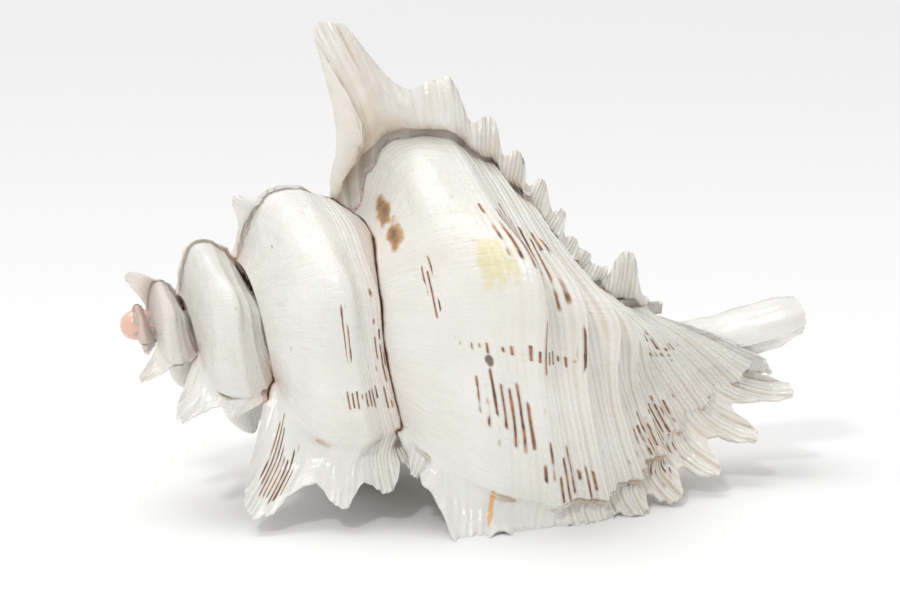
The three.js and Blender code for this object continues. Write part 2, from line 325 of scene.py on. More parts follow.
# by segment: rows along the growth, rows up the fin, rows down its front, columns across the profile
fineness = {
    0: (84, 25, 8, 222), 1: (54, 20, 7, 164), 2: (50, 19, 7, 144), 3: (58, 17, 8, 144),
    4: (44, 12, 6, 110), 5: (40, 12, 6, 100), 6: (48, 14, 6, 110), 7: (32, 8, 5, 80),
    8: (30, 8, 5, 74), 9: (34, 12, 5, 84), 10: (34, 12, 5, 84),
}
firstWhorlsFineness = (22, 7, 4, 60)


def profileStations():
    lengths = [0.0]
    for (x0, r0), (x1, r1) in zip(profilePoints, profilePoints[1:]):
        lengths.append(lengths[-1] + math.hypot(x1 - x0, r1 - r0))
    return [length / lengths[-1] for length in lengths]


stations = profileStations()


def profileCurve(field, part):
    node = field.tree.nodes.new("ShaderNodeFloatCurve")
    curve = node.mapping.curves[0]
    node.mapping.use_clip = False
    for spot, point in zip(stations[1:-1], profilePoints[1:-1]):
        curve.points.new(spot, point[part] * 0.5)
    curve.points[0].location = (0.0, profilePoints[0][part] * 0.5)
    curve.points[-1].location = (1.0, profilePoints[-1][part] * 0.5)
    node.mapping.update()
    field.tree.links.new(field.socket, node.inputs["Value"])
    return Field(field.tree, node.outputs[0]) * 2.0


def profileNumbers(spot):
    step = 0.02
    spots = (spot - step, spot, spot + step)
    places, slopes = [], []
    for part in (0, 1):
        values = [point[part] for point in profilePoints]
        before, here, after = (float(value) for value in np.interp(spots, stations, values))
        places.append(here)
        slopes.append((after - before) / (2 * step))
    return (*places, *slopes)


def alongOf(n, size):
    return size * (n * growth["alongRate"] - n * n * growth["alongSlowing"]).exp()


def radiusOf(n, size):
    return size * (n * growth["radiusRate"] - n * n * growth["radiusSlowing"]).exp()


def placed(tree, x, r, ahead, n, lipAngle):
    angle = n * (2 * math.pi) + lipAngle
    sine, cosine = angle.sin(), angle.cos()
    y = -(r * sine) - ahead * cosine
    z = r * cosine - ahead * sine
    return bent(tree, x, y, z)


# the axis sags a little under the last whorl and turns up again along the canal
def bent(tree, x, y, z):
    sag = x.smooth(70.0, 140.0, 0.0, 11.0)
    rise = ((x - 150.0) / 50.0).most(0.0) ** 1.7 * 10.0 + x.smooth(0.0, 90.0, 3.0, 0.0)
    return vector(tree, x, y, z - sag + rise)


def stored(tree, shape, name, value, domain="POINT"):
    node = tree.nodes.new("GeometryNodeStoreNamedAttribute")
    node.data_type = "FLOAT"
    node.domain = domain
    node.inputs["Name"].default_value = name
    tree.links.new(shape, node.inputs["Geometry"])
    if isinstance(value, Field):
        tree.links.new(value.socket, node.inputs["Value"])
    else:
        node.inputs["Value"].default_value = value
    return node.outputs[0]


# home is the growth segment that each face comes from, kept through the joining
def storedMarks(tree, shape, marks, home):
    for name, value in marks.items():
        shape = stored(tree, shape, name, value)
    return stored(tree, shape, "home", home, "FACE")


def buildSegmentTree(name, varix):
    tree, given, sink = newTree(name, (
        ("Segment", "NodeSocketFloat", 0.0),
        ("Shoulder Along", "NodeSocketFloat", growth["shoulderAlong"]),
        ("Shoulder Radius", "NodeSocketFloat", growth["shoulderRadius"]),
        ("Lip Angle", "NodeSocketFloat", math.radians(growth["lipAngle"])),
        ("Growth Rows", "NodeSocketInt", 60),
        ("Fin Rows", "NodeSocketInt", 20),
        ("Front Rows", "NodeSocketInt", 8),
        ("Columns", "NodeSocketInt", 150),
        ("Fine Relief", "NodeSocketFloat", 1.0),
    ))
    segment, lipAngle = given["Segment"], given["Lip Angle"]
    growthRows, finRows, frontRows = given["Growth Rows"], given["Fin Rows"], given["Front Rows"]
    rowCount = growthRows + finRows + frontRows + 2.0
    columnCount = given["Columns"] + 2.0

    grid = tree.nodes.new("GeometryNodeMeshGrid")
    tree.links.new(rowCount.socket, grid.inputs["Vertices X"])
    tree.links.new(columnCount.socket, grid.inputs["Vertices Y"])
    index = Field(tree, tree.nodes.new("GeometryNodeInputIndex").outputs[0])
    row = ((index + 0.5) / columnCount).floor()
    column = index - row * columnCount
    outerRows = row.below(0.5) + row.above(rowCount - 1.5)
    rim = (outerRows + column.below(0.5) + column.above(columnCount - 1.5)).least(1.0)

    end = segment * (-1 / growth["perWhorl"])
    begin = end - (1 / growth["perWhorl"] + growth["overlap"])
    n = begin + (end - begin) * ((row - 1.0) / (growthRows - 1.0)).most(0.0).least(1.0)
    rising = ((row - growthRows) / finRows).most(0.0).least(1.0)
    falling = ((row - growthRows - finRows - 1.0) / (frontRows - 1.0)).most(0.0).least(1.0)
    w = rising - falling
    front = row.above(growthRows + finRows + 0.5)
    s = ((column - 1.0) / (columnCount - 3.0)).most(0.0).least(1.0)

    # wall of the whorl
    xs = alongOf(n, given["Shoulder Along"])
    rs = radiusOf(n, given["Shoulder Radius"])
    step = 0.012
    slopeX = (profileCurve(s + step, 0) - profileCurve(s - step, 0)) / (2 * step) * xs
    slopeR = (profileCurve(s + step, 1) - profileCurve(s - step, 1)) / (2 * step) * rs
    slope = (slopeX * slopeX + slopeR * slopeR) ** 0.5
    outX, outR = -(slopeR / slope), slopeX / slope
    before = (end - n) * growth["perWhorl"]
    fade = s.smooth(0.0, 0.12)
    tuck = ((n * -0.12) - 0.03).most(0.0).least(0.3) * s.smooth(0.0, 0.25, 1.0, 0.0)
    swell = (before / -0.16).exp() * fade * s.smooth(0.6, 0.95, 0.1, 0.04)
    swell = swell + ((before - 1.0).absolute() / -0.12).exp() * fade * s.smooth(0.6, 0.95, 0.075, 0.03)
    evenness = noise(tree, vector(tree, n * 6.0, s * 12.0, segment + 11.0), 1.0, 2.0)
    ribZone = (s.smooth(0.27, 0.45) + evenness * 0.9).most(0.12).least(1.0) * s.smooth(0.2, 0.32)
    start = sculpture["start"]
    mainCords = ((s - start) * (2 * math.pi * sculpture["cords"])).cos() * 0.5 + 0.5
    knob = before.bell(0.48, 0.13) * s.bell(0.32, 0.055) * fade * varix["knob"]
    ridge = (
        before.bell(0.45, 0.13) * (mainCords ** 1.5 * 0.75 + 0.25) * varix["ridge"]
        * s.smooth(0.27, 0.4) * s.smooth(0.55, 0.9, 1.0, 0.0)
    )
    towardsVarix = (before / -0.3).exp() * 0.4 + 0.6
    cordZone = s.smooth(0.25, 0.36)
    wander = noise(tree, vector(tree, n * 9.0, s * 7.0, segment), 1.0, 2.0) * 0.35
    ribs = (((s - start) * sculpture["ribs"] + wander) * (2 * math.pi)).cos() * 0.5 + 0.5
    threads = (((s - start) * sculpture["threads"] + wander * 2.0) * (2 * math.pi)).cos() * 0.5 + 0.5
    lines = noise(tree, vector(tree, n * 150.0, s * 5.0, segment), 1.0, 3.0, 0.6)
    lumps = noise(tree, vector(tree, n * 14.0, s * 8.0, segment + 7.3), 1.0, 2.0)
    relief = given["Fine Relief"]
    if varix.get("pushed"):
        xs = xs + n.bell(-0.29, 0.10) * s.smooth(0.0, 0.22, 1.0, 0.0) * sculpture["push"]
    if varix.get("shelf"):
        knob = knob + before.bell(0.75, 0.3) * s.bell(0.5, 0.12) * varix["shelf"]
    detail = (
        mainCords ** 1.4 * cordZone * towardsVarix * (varix["cords"] * sculpture["cordHeight"])
        + ribs ** 1.5 * ribZone * towardsVarix * relief * (varix["cords"] * sculpture["ribHeight"])
        + threads * ribZone * relief * sculpture["threadHeight"]
        + lines * fade * relief * sculpture["growthLineHeight"]
        + lumps * fade * sculpture["lumpHeight"]
    )
    lift = (swell + knob + ridge + detail) * rs
    wallX = profileCurve(s, 0) * xs + outX * lift
    wallR = (profileCurve(s, 1) - tuck) * rs + outR * lift

    # fin of the varix, with its fronds
    leanFrom, leanTo = (math.radians(value) for value in varix["lean"])
    turn = leanTo - leanFrom
    angle = w * turn + leanFrom
    ahead = (angle.sin() - math.sin(leanFrom)) / turn
    out = (angle.cos() - math.cos(leanFrom)) / -turn
    low = s.smooth(0.0, 0.1).most(0.15) * s.smooth(0.6, 1.0, varix["low"], varix["low"] * 0.5)
    finX = wallX + outX * out * low * rs
    finR = wallR + outR * out * low * rs
    finT = ahead * low * rs
    ripple = noise(tree, vector(tree, s * 46.0, w * 1.6, segment + 3.1), 1.0, 2.0)
    total = sumX = sumR = sumT = None
    for centre, half, height, direction, fold, tip in varix["fronds"]:
        q = ((s - centre) / half).absolute()
        core = ((q / 1.12) ** 5.0 * -1.0).exp()
        tall = ((q ** 3.2 * -1.0).exp() * height * (ripple * 0.30 + 1.0) + low) * rs
        px, pr, pdx, pdr = profileNumbers(centre)
        arcX, arcR = xs * pdx, rs * pdr
        arc = (arcX * arcX + arcR * arcR) ** 0.5
        aside = (s - centre) * arc * (w * (tip - 1.0) + 1.0)
        cosine, sine = math.cos(math.radians(direction)), math.sin(math.radians(direction))
        crease = (q * q * -1.0 + 1.0) * arc * core * w * (fold * 0.5 * half)
        if centre == varix.get("curled"):
            roll = (((centre - s) / half - 0.15) / 0.85).most(0.0).least(1.3) * w.smooth(0.0, 0.35)
            aside = aside + roll ** 1.6 * arc * w.smooth(0.6, 1.0, 1.0, 0.45) * (half * 1.15)
            crease = crease - roll * arc * (half * 0.35)
        partX = (xs * px + out * tall * cosine + aside * sine) * core
        partR = (rs * pr + out * tall * sine - aside * cosine) * core
        partT = (ahead * tall - crease) * core
        total = core if total is None else total + core
        sumX = partX if sumX is None else sumX + partX
        sumR = partR if sumR is None else sumR + partR
        sumT = partT if sumT is None else sumT + partT
    share = total.most(0.000001)
    blend = total.least(1.0) * w.smooth(0.0, 0.55)
    finX = finX.mix(sumX / share, blend)
    finR = finR.mix(sumR / share, blend)
    finT = finT.mix(sumT / share, blend)
    flute = (((s - start) * sculpture["flutes"] + wander) * (2 * math.pi)).cos() * 0.009 + ripple * 0.03
    teeth = sculpture["teeth"]
    tooth = ((s * teeth) - (s * teeth).floor() - 0.5).absolute() * (1.0 - w) * varix["zigzag"]
    thickness = ((w * -0.55 + 1.0) * growth["finThickness"] + tooth) * front
    finT = finT + (flute * w + thickness) * rs

    where = placed(tree, finX, finR, finT, n, lipAngle)
    hingeAlong = alongOf((begin + end) * 0.5, given["Shoulder Along"])
    hinge = bent(tree, hingeAlong, hingeAlong * 0.0, hingeAlong * 0.0)
    choose = tree.nodes.new("ShaderNodeMix")
    choose.data_type = "VECTOR"
    tree.links.new(rim.socket, choose.inputs[0])
    tree.links.new(where, choose.inputs[4])
    tree.links.new(hinge, choose.inputs[5])
    move = tree.nodes.new("GeometryNodeSetPosition")
    tree.links.new(grid.outputs["Mesh"], move.inputs["Geometry"])
    tree.links.new(choose.outputs[1], move.inputs["Position"])

    shape = storedMarks(tree, move.outputs[0], {
        "growth": n, "across": s, "fin": w, "front": front, "segment": segment, "inside": w * 0.0,
        "rib": (s - start) * sculpture["ribs"] + wander,
    }, segment)
    merge = tree.nodes.new("GeometryNodeMergeByDistance")
    merge.inputs["Distance"].default_value = 0.0001
    tree.links.new(shape, merge.inputs["Geometry"])
    tree.links.new(rim.socket, merge.inputs["Selection"])
    tree.links.new(merge.outputs[0], sink.inputs[0])
    return tree


canal = {
    "end": 194.0,
    "radius": 8.6,
    "slotWidth": 5.0,
    "rings": 100,
    "around": 40,
}

mouth = {
    "deep": -0.42,            # whorls back from the lip
    "ahead": 0.045,
    "along": 1.12,            # centre and half sizes, in shoulder units
    "out": 0.58,
    "halfAlong": 0.30,
    "halfOut": 0.34,
    "rings": 60,
    "around": 90,
}


def tubeFields(tree, ringCount, aroundCount):
    grid = tree.nodes.new("GeometryNodeMeshGrid")
    grid.inputs["Vertices X"].default_value = ringCount + 2
    grid.inputs["Vertices Y"].default_value = aroundCount + 1
    index = Field(tree, tree.nodes.new("GeometryNodeInputIndex").outputs[0])
    row = ((index + 0.5) / float(aroundCount + 1)).floor()
    column = index - row * float(aroundCount + 1)
    pole = (row.below(0.5) + row.above(ringCount + 0.5)).least(1.0)
    share = ((row - 1.0) / float(ringCount - 1)).most(0.0).least(1.0)
    around = (column / float(aroundCount)) * (2 * math.pi)
    return grid, share, around, 1.0 - pole


def finishTube(tree, sink, grid, place, n, inside, flip):
    move = tree.nodes.new("GeometryNodeSetPosition")
    tree.links.new(grid.outputs["Mesh"], move.inputs["Geometry"])
    tree.links.new(place, move.inputs["Position"])
    shape = storedMarks(tree, move.outputs[0], {
        "growth": n, "across": 1.0, "fin": 0.0, "front": 0.0, "segment": -1.0, "inside": inside, "rib": 0.0,
    }, -1.0)
    merge = tree.nodes.new("GeometryNodeMergeByDistance")
    merge.inputs["Distance"].default_value = 0.00001
    tree.links.new(shape, merge.inputs["Geometry"])
    shape = merge.outputs[0]
    if flip:
        turn = tree.nodes.new("GeometryNodeFlipFaces")
        tree.links.new(shape, turn.inputs[0])
        shape = turn.outputs[0]
    tree.links.new(shape, sink.inputs[0])


def buildPillarTree():
    tree, given, sink = newTree("pillar", (
        ("Canal End", "NodeSocketFloat", canal["end"]),
        ("Canal Radius", "NodeSocketFloat", canal["radius"]),
    ))
    grid, share, around, size = tubeFields(tree, canal["rings"], canal["around"])
    x = (given["Canal End"] + 0.6) * share ** 1.35 - 0.6
    dome = (((3.6 - x).most(0.0) / 4.2) ** 2.0 * -1.0 + 1.0).most(0.0) ** 0.5 * 4.1
    inside = dome.most(x.above(6.0) * x * 0.19).least(given["Canal Radius"])
    widen = x.smooth(150.0, 180.0, 1.0, 1.25)
    tip = x.smooth(188.0, 194.0, 1.0, 0.8) * (x.bell(158.0, 16.0) * -0.16 + 1.0)
    grain = noise(tree, vector(tree, x * 0.05, around.cos() * 2.0, around.sin() * 2.0), 2.2, 3.0)
    streaks = noise(tree, vector(tree, x * 0.03, around.cos() * 9.0, around.sin() * 9.0), 1.0, 3.0)
    coarse = x.smooth(110.0, 150.0)
    radius = inside * tip * size * ((grain * 0.30 + streaks * 0.34) * coarse + 1.0)
    place = bent(tree, x, -(radius * widen * around.sin()), radius / widen * around.cos())
    finishTube(tree, sink, grid, place, x.below(12.0) * -4.8, 0.0, True)
    return tree


def buildMouthTree():
    tree, given, sink = newTree("mouthHollow", (
        ("Shoulder Along", "NodeSocketFloat", growth["shoulderAlong"]),
        ("Shoulder Radius", "NodeSocketFloat", growth["shoulderRadius"]),
        ("Lip Angle", "NodeSocketFloat", math.radians(growth["lipAngle"])),
    ))
    grid, share, around, size = tubeFields(tree, mouth["rings"], mouth["around"])
    n = share * (mouth["ahead"] - mouth["deep"]) + mouth["deep"]
    wide = n.smooth(-0.42, -0.05, 0.45, 1.0)
    teeth = (around * 22.0).cos() * n.smooth(-0.06, 0.0, 0.0, 0.022) * (around.sin() * 0.5 + 0.5)
    reach = wide * size * (teeth + 1.0)
    x = (around.cos() * reach * mouth["halfAlong"] + mouth["along"]) * alongOf(n, given["Shoulder Along"])
    r = (around.sin() * reach * mouth["halfOut"] + mouth["out"]) * radiusOf(n, given["Shoulder Radius"])
    place = placed(tree, x, r, n * 0.0, n, given["Lip Angle"])
    finishTube(tree, sink, grid, place, n, 1.0, True)
    return tree


def buildSlotTree():
    tree, given, sink = newTree("canalSlot", (
        ("Slot Width", "NodeSocketFloat", canal["slotWidth"]),
        ("Lip Angle", "NodeSocketFloat", math.radians(growth["lipAngle"])),
    ))
    grid, share, around, size = tubeFields(tree, 60, 32)
    x = share * 80.0 + 118.0
    half = given["Slot Width"] * 0.5 * (share * -0.3 + 1.0)
    side = around.cos() * half * size
    depth = around.sin() * 9.0 * size + 7.0
    facing = given["Lip Angle"] + math.pi / 2
    y = side * facing.cos() - depth * facing.sin()
    z = side * facing.sin() + depth * facing.cos()
    place = bent(tree, x, y, z)
    finishTube(tree, sink, grid, place, x * 0.0, 1.0, True)
    return tree


def addGroup(tree, group, values):
    node = tree.nodes.new("GeometryNodeGroup")
    node.node_tree = group
    for label, value in values.items():
        if isinstance(value, Field):
            tree.links.new(value.socket, node.inputs[label])
        else:
            node.inputs[label].default_value = value
    return node.outputs[0]


def combine(tree, operation, first, second):
    node = tree.nodes.new("GeometryNodeMeshBoolean")
    node.operation = operation
    node.solver = "MANIFOLD"
    if operation == "DIFFERENCE":
        tree.links.new(first, node.inputs["Mesh 1"])
        tree.links.new(second[0], node.inputs["Mesh 2"])
    else:
        for part in reversed([first, *second]):
            tree.links.new(part, node.inputs["Mesh 2"])
    return node.outputs["Mesh"]


# everything below floor level is cut away, so the shell rests on worn flats
floorBlock = {
    "width": 400.0,
    "height": 100.0,
    "middle": 100.0,
}


def buildShellTree(material):
    tree, given, sink = newTree("murexShell", (
        ("Shoulder Along", "NodeSocketFloat", growth["shoulderAlong"]),
        ("Shoulder Radius", "NodeSocketFloat", growth["shoulderRadius"]),
        ("Lip Angle", "NodeSocketFloat", math.radians(growth["lipAngle"])),
        ("Fine Relief", "NodeSocketFloat", 1.0),
        ("Canal End", "NodeSocketFloat", canal["end"]),
    ))
    groups = {name: buildSegmentTree(name + "Segment", varix) for name, varix in varices.items()}
    report("segment trees built")
    size = {label: given[label] for label in ("Shoulder Along", "Shoulder Radius", "Lip Angle")}
    parts = []
    for k in range(growth["segments"]):
        rows, fins, fronts, columns = fineness.get(k, firstWhorlsFineness)
        parts.append(addGroup(tree, groups[varixOrder[k]], {
            **size, "Fine Relief": given["Fine Relief"], "Segment": float(k),
            "Growth Rows": rows, "Fin Rows": fins, "Front Rows": fronts, "Columns": columns,
        }))
    parts.append(addGroup(tree, buildPillarTree(), {"Canal End": given["Canal End"]}))
    hollow = addGroup(tree, buildMouthTree(), size)
    slot = addGroup(tree, buildSlotTree(), {"Lip Angle": given["Lip Angle"]})
    floor = tree.nodes.new("GeometryNodeMeshCube")
    floor.inputs["Size"].default_value = (floorBlock["width"], floorBlock["width"], floorBlock["height"])
    lower = tree.nodes.new("GeometryNodeTransform")
    tree.links.new(floor.outputs[0], lower.inputs[0])
    floorMiddle = -growth["restHeight"] - floorBlock["height"] / 2
    lower.inputs["Translation"].default_value = (floorBlock["middle"], 0.0, floorMiddle)

    body = combine(tree, "UNION", parts[0], parts[1:])
    for tool in (hollow, slot, lower.outputs[0]):
        body = combine(tree, "DIFFERENCE", body, [tool])

    realize = tree.nodes.new("GeometryNodeRealizeInstances")
    tree.links.new(body, realize.inputs[0])
    paint = tree.nodes.new("GeometryNodeSetMaterial")
    tree.links.new(realize.outputs[0], paint.inputs[0])
    paint.inputs["Material"].default_value = material
    tree.links.new(paint.outputs[0], sink.inputs[0])
    return tree


def grownMesh(tree, name, values):
    carrier = bpy.data.objects.new(name + "Carrier", bpy.data.meshes.new(name + "Carrier"))
    bpy.context.scene.collection.objects.link(carrier)
    modifier = carrier.modifiers.new("growth", "NODES")
    modifier.node_group = tree
    for item in tree.interface.items_tree:
        if item.in_out == "INPUT":
            modifier[item.identifier] = values.get(item.name, item.default_value)
    graph = bpy.context.evaluated_depsgraph_get()
    evaluated = carrier.evaluated_get(graph)
    mesh = bpy.data.meshes.new_from_object(evaluated, preserve_all_data_layers=True, depsgraph=graph)
    carrier.modifiers.remove(modifier)
    bpy.data.objects.remove(carrier)
    mesh.name = name
    return mesh


def writeMark(mesh, name, values):
    mark = mesh.attributes.new(name, "FLOAT", "POINT")
    mark.data.foreach_set("value", values.astype(np.float32))


seamReach = 20.0    # distances to a seam are not followed further than this


def distanceTo(points, spots, furthest):
    if len(spots) == 0:
        return np.full(len(points), furthest)
    tree = KDTree(len(spots))
    for i, spot in enumerate(spots):
        tree.insert(spot, i)
    tree.balance()
    return np.array([min(tree.find(p)[2], furthest) for p in points])


def markSeams(mesh):
    home = np.zeros(len(mesh.polygons), dtype=np.float32)
    mesh.attributes["home"].data.foreach_get("value", home)
    shape = bmesh.new()
    shape.from_mesh(mesh)
    sutures, feet = [], []
    for edge in shape.edges:
        homes = [home[face.index] for face in edge.link_faces]
        jump = max(homes) - min(homes)
        if jump < 0.5 or min(homes) < -0.5:
            continue
        first, second = (corner.co for corner in edge.verts)
        spots = [first.lerp(second, share) for share in (0.0, 0.25, 0.5, 0.75, 1.0)]
        (sutures if jump > 1.5 else feet).extend(spots)
    shape.free()
    report(f"{len(sutures)} spots on the sutures, {len(feet)} at the feet of the fins")
    points = [corner.co for corner in mesh.vertices]
    writeMark(mesh, "suture", distanceTo(points, sutures, seamReach))
    writeMark(mesh, "finFoot", distanceTo(points, feet, seamReach))


def toFrame(mesh):
    shift = (-growth["middleX"], -growth["middleY"], growth["restHeight"])
    mesh.transform(Matrix.Scale(0.001, 4) @ Matrix.Translation(shift))


def sharpEdges(mesh, degrees):
    shape = bmesh.new()
    shape.from_mesh(mesh)
    for edge in shape.edges:
        edge.smooth = len(edge.link_faces) == 2 and edge.calc_face_angle(0.0) < math.radians(degrees)
    for face in shape.faces:
        face.smooth = True
    shape.to_mesh(mesh)
    shape.free()


shellLook = {
    "white": (0.90, 0.885, 0.845, 1.0),
    "cream": (0.84, 0.77, 0.66, 1.0),
    "shade": (0.76, 0.765, 0.71, 1.0),
    "groove": (0.72, 0.60, 0.45, 1.0),
    "darkBrown": (0.085, 0.028, 0.014, 1.0),
    "rust": (0.46, 0.20, 0.075, 1.0),
    "amber": (0.50, 0.24, 0.05, 1.0),
    "orange": (0.86, 0.43, 0.12, 1.0),
    "yellow": (0.76, 0.68, 0.28, 1.0),
    "pink": (0.84, 0.56, 0.49, 1.0),
    "apex": (0.84, 0.50, 0.38, 1.0),
    "mouth": (0.90, 0.70, 0.61, 1.0),
    "roughness": 0.26,
    "coat": 0.25,
    "subsurface": 0.12,
    "bumpDepth": 0.001,
    "sharpAbove": 62.0,        # degrees between two faces
}

# where dashes gather: thirds of a whorl back from the varix, place on the profile, half sizes, strength
outerDashes = (
    (0.465, 0.16, 0.1, 0.022, 1.0), (0.57, 0.365, 0.12, 0.06, 1.25), (0.555, 0.46, 0.1, 0.035, 1.2),
    (0.32, 0.34, 0.018, 0.11, 1.15), (0.35, 0.349, 0.06, 0.01, 1.3), (0.36, 0.423, 0.06, 0.01, 1.3),
    (0.18, 0.29, 0.1, 0.055, 1.15), (0.06, 0.37, 0.08, 0.06, 0.85), (0.06, 0.66, 0.11, 0.1, 1.0),
    (0.42, 0.8, 0.13, 0.09, 0.8), (-0.12, 0.64, 0.06, 0.1, 0.75),
)
innerDashes = (
    (0.3, 0.316, 0.11, 0.01, 1.35), (0.12, 0.34, 0.035, 0.07, 1.15), (-0.14, 0.12, 0.07, 0.07, 1.1),
    (0.22, 0.42, 0.2, 0.03, 0.8),
)
# single blots on the last third of a whorl: place as above, half sizes, colour
blots = (
    (0.800, 0.066, 0.070, 0.030, "amber"), (0.670, 0.080, 0.060, 0.026, "amber"),
    (0.294, 0.260, 0.014, 0.008, "darkBrown"), (0.500, 0.292, 0.055, 0.022, "yellow"),
    (-0.100, 0.252, 0.080, 0.004, "orange"),
)


def mark(tree, name):
    node = tree.nodes.new("ShaderNodeAttribute")
    node.attribute_name = name
    return Field(tree, node.outputs["Fac"])


def blend(tree, share, first, second):
    node = tree.nodes.new("ShaderNodeMix")
    node.data_type = "RGBA"
    tree.links.new(share.least(1.0).most(0.0).socket, node.inputs[0])
    for slot, colour in ((6, first), (7, second)):
        if isinstance(colour, tuple):
            node.inputs[slot].default_value = colour
        else:
            tree.links.new(colour, node.inputs[slot])
    return node.outputs[2]


def gathered(before, across, places):
    total = None
    for back, place, halfBack, halfPlace, strength in places:
        part = before.bell(back, halfBack) * across.bell(place, halfPlace) * strength
        total = part if total is None else total.most(part)
    return total


def paintShell(material):
    material.use_nodes = True
    tree = material.node_tree
    paint = tree.nodes["Principled BSDF"]
    growthMark, across, fin, front, segment = (
        mark(tree, name) for name in ("growth", "across", "fin", "front", "segment"))
    inside, rib, suture, finFoot = (mark(tree, name) for name in ("inside", "rib", "suture", "finFoot"))
    where = tree.nodes.new("ShaderNodeTexCoord").outputs["Object"]
    before = growthMark * -growth["perWhorl"] - segment - fin * 0.25
    last = segment.absolute().below(0.5)
    wall = 1.0 - inside.above(0.5)

    # ground: white, with creamy clouds, greenish translucent shade and bands along the growth
    clouds = noise(tree, where, 26.0, 3.0)
    patches = noise(tree, where, 60.0, 2.0)
    bands = noise(tree, vector(tree, growthMark * 34.0, across * 3.0, segment), 1.0, 3.0)
    colour = blend(tree, (clouds * 1.6 + bands * 1.2 + 0.12), shellLook["white"], shellLook["cream"])
    colour = blend(tree, (patches * 1.4 - clouds * 0.8 + 0.22), colour, shellLook["shade"])

    # spiral grooves hold a tan film
    evenness = noise(tree, vector(tree, growthMark * 6.0, across * 12.0, segment + 11.0), 1.0, 2.0)
    cordZone = (across.smooth(0.25, 0.45) + evenness * 1.4).most(0.08).least(1.0) * across.smooth(0.1, 0.3)
    cordZone = cordZone * wall * (1.0 - segment.above(2.5) * 0.5)
    grooves = ((rib * (2 * math.pi)).cos() * -0.5 + 0.5) ** 3.0
    threads = ((rib * (6 * math.pi)).cos() * -0.5 + 0.5) ** 3.0
    film = (grooves * 0.35 + threads * 0.22) * cordZone * (bands * 1.5 + 0.8)
    colour = blend(tree, film, colour, shellLook["groove"])

    # warm first whorls
    young = growthMark.smooth(-2.7, -4.0) * wall
    colour = blend(tree, young * 0.5, colour, shellLook["pink"])
    colour = blend(tree, growthMark.smooth(-3.9, -4.5) * wall * 0.8, colour, shellLook["apex"])
    flush = suture.smooth(0.5, 7.0, 1.0, 0.0) * (clouds * 2.0 + 0.55) * growthMark.smooth(-0.9, -1.1) * wall
    colour = blend(tree, flush * 0.45, colour, shellLook["pink"])

    # front of each fin: warm stains near its foot
    stain = front * (patches * 3.0 + clouds * 2.0 + 0.25) * fin.smooth(0.1, 0.9, 1.0, 0.25) * wall
    colour = blend(tree, stain * 0.6, colour, shellLook["amber"])

    # brown dashes that run with the cords
    wander = noise(tree, vector(tree, before * 5.0, across * 14.0, segment), 1.0, 2.0)
    twice = rib * 2.6 + wander * 0.9
    lineNumber = twice.floor()
    off = (twice - lineNumber - 0.5).absolute()
    wobble = noise(tree, vector(tree, before * 22.0, lineNumber * 3.7, segment), 1.0, 2.0)
    line = (off + wobble * 0.25).smooth(0.08, 0.22, 1.0, 0.0)
    outer = gathered(before, across, outerDashes) * segment.below(2.5)
    inner = gathered(before, across, innerDashes) * segment.above(2.5) * segment.below(3.5)
    chance = noise(tree, vector(tree, before * 14.0, lineNumber * 7.7, segment * 3.1), 1.0, 1.0)
    dash = (chance * 1.3 + (outer + inner) * 0.60 - 0.33).smooth(0.0, 0.1)
    dashes = line * dash * (1.0 - front) * wall
    tone = noise(tree, vector(tree, before * 30.0, lineNumber * 5.1, 2.0), 1.0, 2.0)
    brown = blend(tree, tone * 4.0 + 0.6, shellLook["rust"], shellLook["darkBrown"])
    halo = off.smooth(0.15, 0.45, 1.0, 0.0) * dash * (1.0 - front) * wall
    colour = blend(tree, halo * 0.35, colour, shellLook["rust"])
    colour = blend(tree, dashes * 0.95, colour, brown)

    # single blots
    ragged = noise(tree, where, 210.0, 3.0)
    for back, place, halfBack, halfPlace, name in blots:
        away = ((before - back) / halfBack) ** 2.0 + ((across - place) / halfPlace) ** 2.0
        reach = away ** 0.5 + ragged * 1.9
        shape = reach.smooth(0.7, 1.25, 1.0, 0.0) * last * wall
        if name == "amber":
            heart = reach.smooth(0.2, 0.9, 1.0, 0.0)
            shade = blend(tree, heart * 0.8, shellLook["amber"], shellLook["darkBrown"])
            colour = blend(tree, shape * 0.9, colour, shade)
        else:
            colour = blend(tree, shape * (0.55 if name == "yellow" else 0.85), colour, shellLook[name])

    # dark seams between whorls and at the foot of each fin
    breakUp = noise(tree, where, 130.0, 3.0)
    topFoot = growthMark.bell(-0.333, 0.06)
    seamWidth = breakUp * 1.3 + 0.42 - growthMark.smooth(-1.2, -3.0) * 0.2
    footWidth = (breakUp * 1.1 + 0.34) * (topFoot + 0.2).least(1.0)
    closeness = (seamWidth - suture).most(footWidth - finFoot - (1.0 - topFoot) * 0.25)
    colour = blend(tree, closeness.smooth(-0.75, 0.1) * wall * 0.55, colour, shellLook["rust"])
    colour = blend(tree, closeness.smooth(-0.1, 0.22) * wall * 0.92, colour, shellLook["darkBrown"])

    # smooth mouth
    hollow = inside.above(0.5) * growthMark.smooth(0.05, -0.1, 0.35, 1.0)
    colour = blend(tree, hollow, colour, shellLook["mouth"])
    tree.links.new(colour, paint.inputs["Base Color"])

    gloss = clouds * 0.16 + film * 0.3 + shellLook["roughness"]
    tree.links.new(gloss.socket, paint.inputs["Roughness"])
    paint.inputs["Coat Weight"].default_value = shellLook["coat"]
    paint.inputs["Coat Roughness"].default_value = 0.12
    paint.inputs["Subsurface Weight"].default_value = shellLook["subsurface"]
    paint.inputs["Subsurface Radius"].default_value = (1.0, 0.8, 0.6)
    paint.inputs["Subsurface Scale"].default_value = 0.003

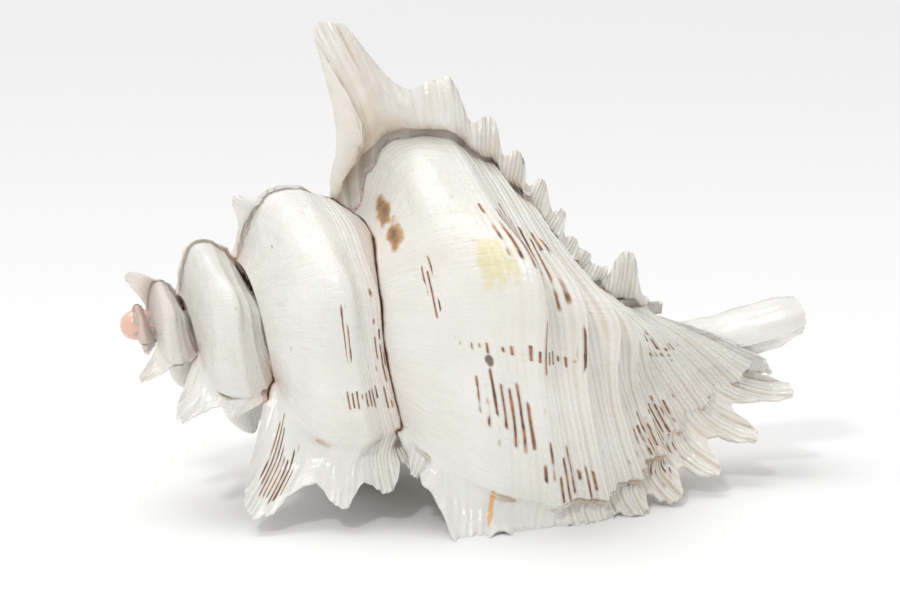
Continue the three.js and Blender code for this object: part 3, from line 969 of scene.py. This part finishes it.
    # fine relief: growth lines, threads, wrinkles
    growthLines = noise(tree, vector(tree, growthMark * 330.0, across * 9.0, segment), 1.0, 3.0, 0.6)
    wrinkles = noise(tree, where, 420.0, 3.0, 0.55)
    height = (
        growthLines * across.smooth(0.0, 0.06) * 0.55 + threads * cordZone * -0.35
        + wrinkles * 0.45 + patches * 0.8
    ) * wall - dashes * 0.12
    bump = tree.nodes.new("ShaderNodeBump")
    bump.inputs["Strength"].default_value = 0.8
    bump.inputs["Distance"].default_value = shellLook["bumpDepth"]
    tree.links.new(height.socket, bump.inputs["Height"])
    tree.links.new(bump.outputs[0], paint.inputs["Normal"])


shellMaterial = bpy.data.materials.new("shell")
paintShell(shellMaterial)
shellMesh = grownMesh(buildShellTree(shellMaterial), "shell", {"Fine Relief": 1.0})
report(f"shell grown: {len(shellMesh.vertices)} points, {len(shellMesh.polygons)} faces")
markSeams(shellMesh)
toFrame(shellMesh)
sharpEdges(shellMesh, shellLook["sharpAbove"])
report("seams marked")
shell = bpy.data.objects.new("shell", shellMesh)
bpy.context.scene.collection.objects.link(shell)
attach(shell, "root")
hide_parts("murex_shell")


studio = {
    "floorColour": (0.93, 0.93, 0.93, 1.0),
    "floorReach": 4.0,
    "skyStrength": 0.62,
    "sunStrength": 1.15,
    "sunSpread": 40.0,
    "sunFrom": (-0.25, 0.35, 1.0),
    "aim": (0.0, 0.0, 0.05),
    "keyPlace": (-0.5, -0.6, 0.9),
    "keySize": 0.16,
    "keyPower": 3.0,
    "fillPlace": (0.9, -0.3, 0.6),
    "fillSize": 0.35,
    "fillPower": 0.8,
}


def makeFloor():
    mesh = bpy.data.meshes.new("floor")
    reach = studio["floorReach"]
    corners = [(-reach, -reach, 0), (reach, -reach, 0), (reach, reach, 0), (-reach, reach, 0)]
    mesh.from_pydata(corners, [], [(0, 1, 2, 3)])
    floor = bpy.data.objects.new("floor", mesh)
    material = bpy.data.materials.new("floor")
    material.use_nodes = True
    paint = material.node_tree.nodes["Principled BSDF"]
    paint.inputs["Base Color"].default_value = studio["floorColour"]
    paint.inputs["Roughness"].default_value = 0.6
    mesh.materials.append(material)
    bpy.context.scene.collection.objects.link(floor)


def makeLight(name, place, size, power):
    data = bpy.data.lights.new(name, "AREA")
    data.shape = "DISK"
    data.size = size
    data.energy = power
    lamp = bpy.data.objects.new(name, data)
    lamp.location = place
    lamp.rotation_euler = (Vector(studio["aim"]) - Vector(place)).to_track_quat("-Z", "Y").to_euler()
    bpy.context.scene.collection.objects.link(lamp)


def makeSun(direction):
    data = bpy.data.lights.new("topLight", "SUN")
    data.energy = studio["sunStrength"]
    data.angle = math.radians(studio["sunSpread"])
    lamp = bpy.data.objects.new("topLight", data)
    lamp.rotation_euler = Vector(direction).to_track_quat("Z", "Y").to_euler()
    bpy.context.scene.collection.objects.link(lamp)


def makeStudio():
    makeFloor()
    makeSun(studio["sunFrom"])
    makeLight("keyLight", studio["keyPlace"], studio["keySize"], studio["keyPower"])
    makeLight("fillLight", studio["fillPlace"], studio["fillSize"], studio["fillPower"])
    world = bpy.data.worlds.new("studio")
    world.use_nodes = True
    back = world.node_tree.nodes["Background"]
    back.inputs["Color"].default_value = (1.0, 1.0, 1.0, 1.0)
    back.inputs["Strength"].default_value = studio["skyStrength"]
    bpy.context.scene.world = world
    bpy.context.scene.view_settings.view_transform = "Standard"


makeStudio()

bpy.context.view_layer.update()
report("finishing")
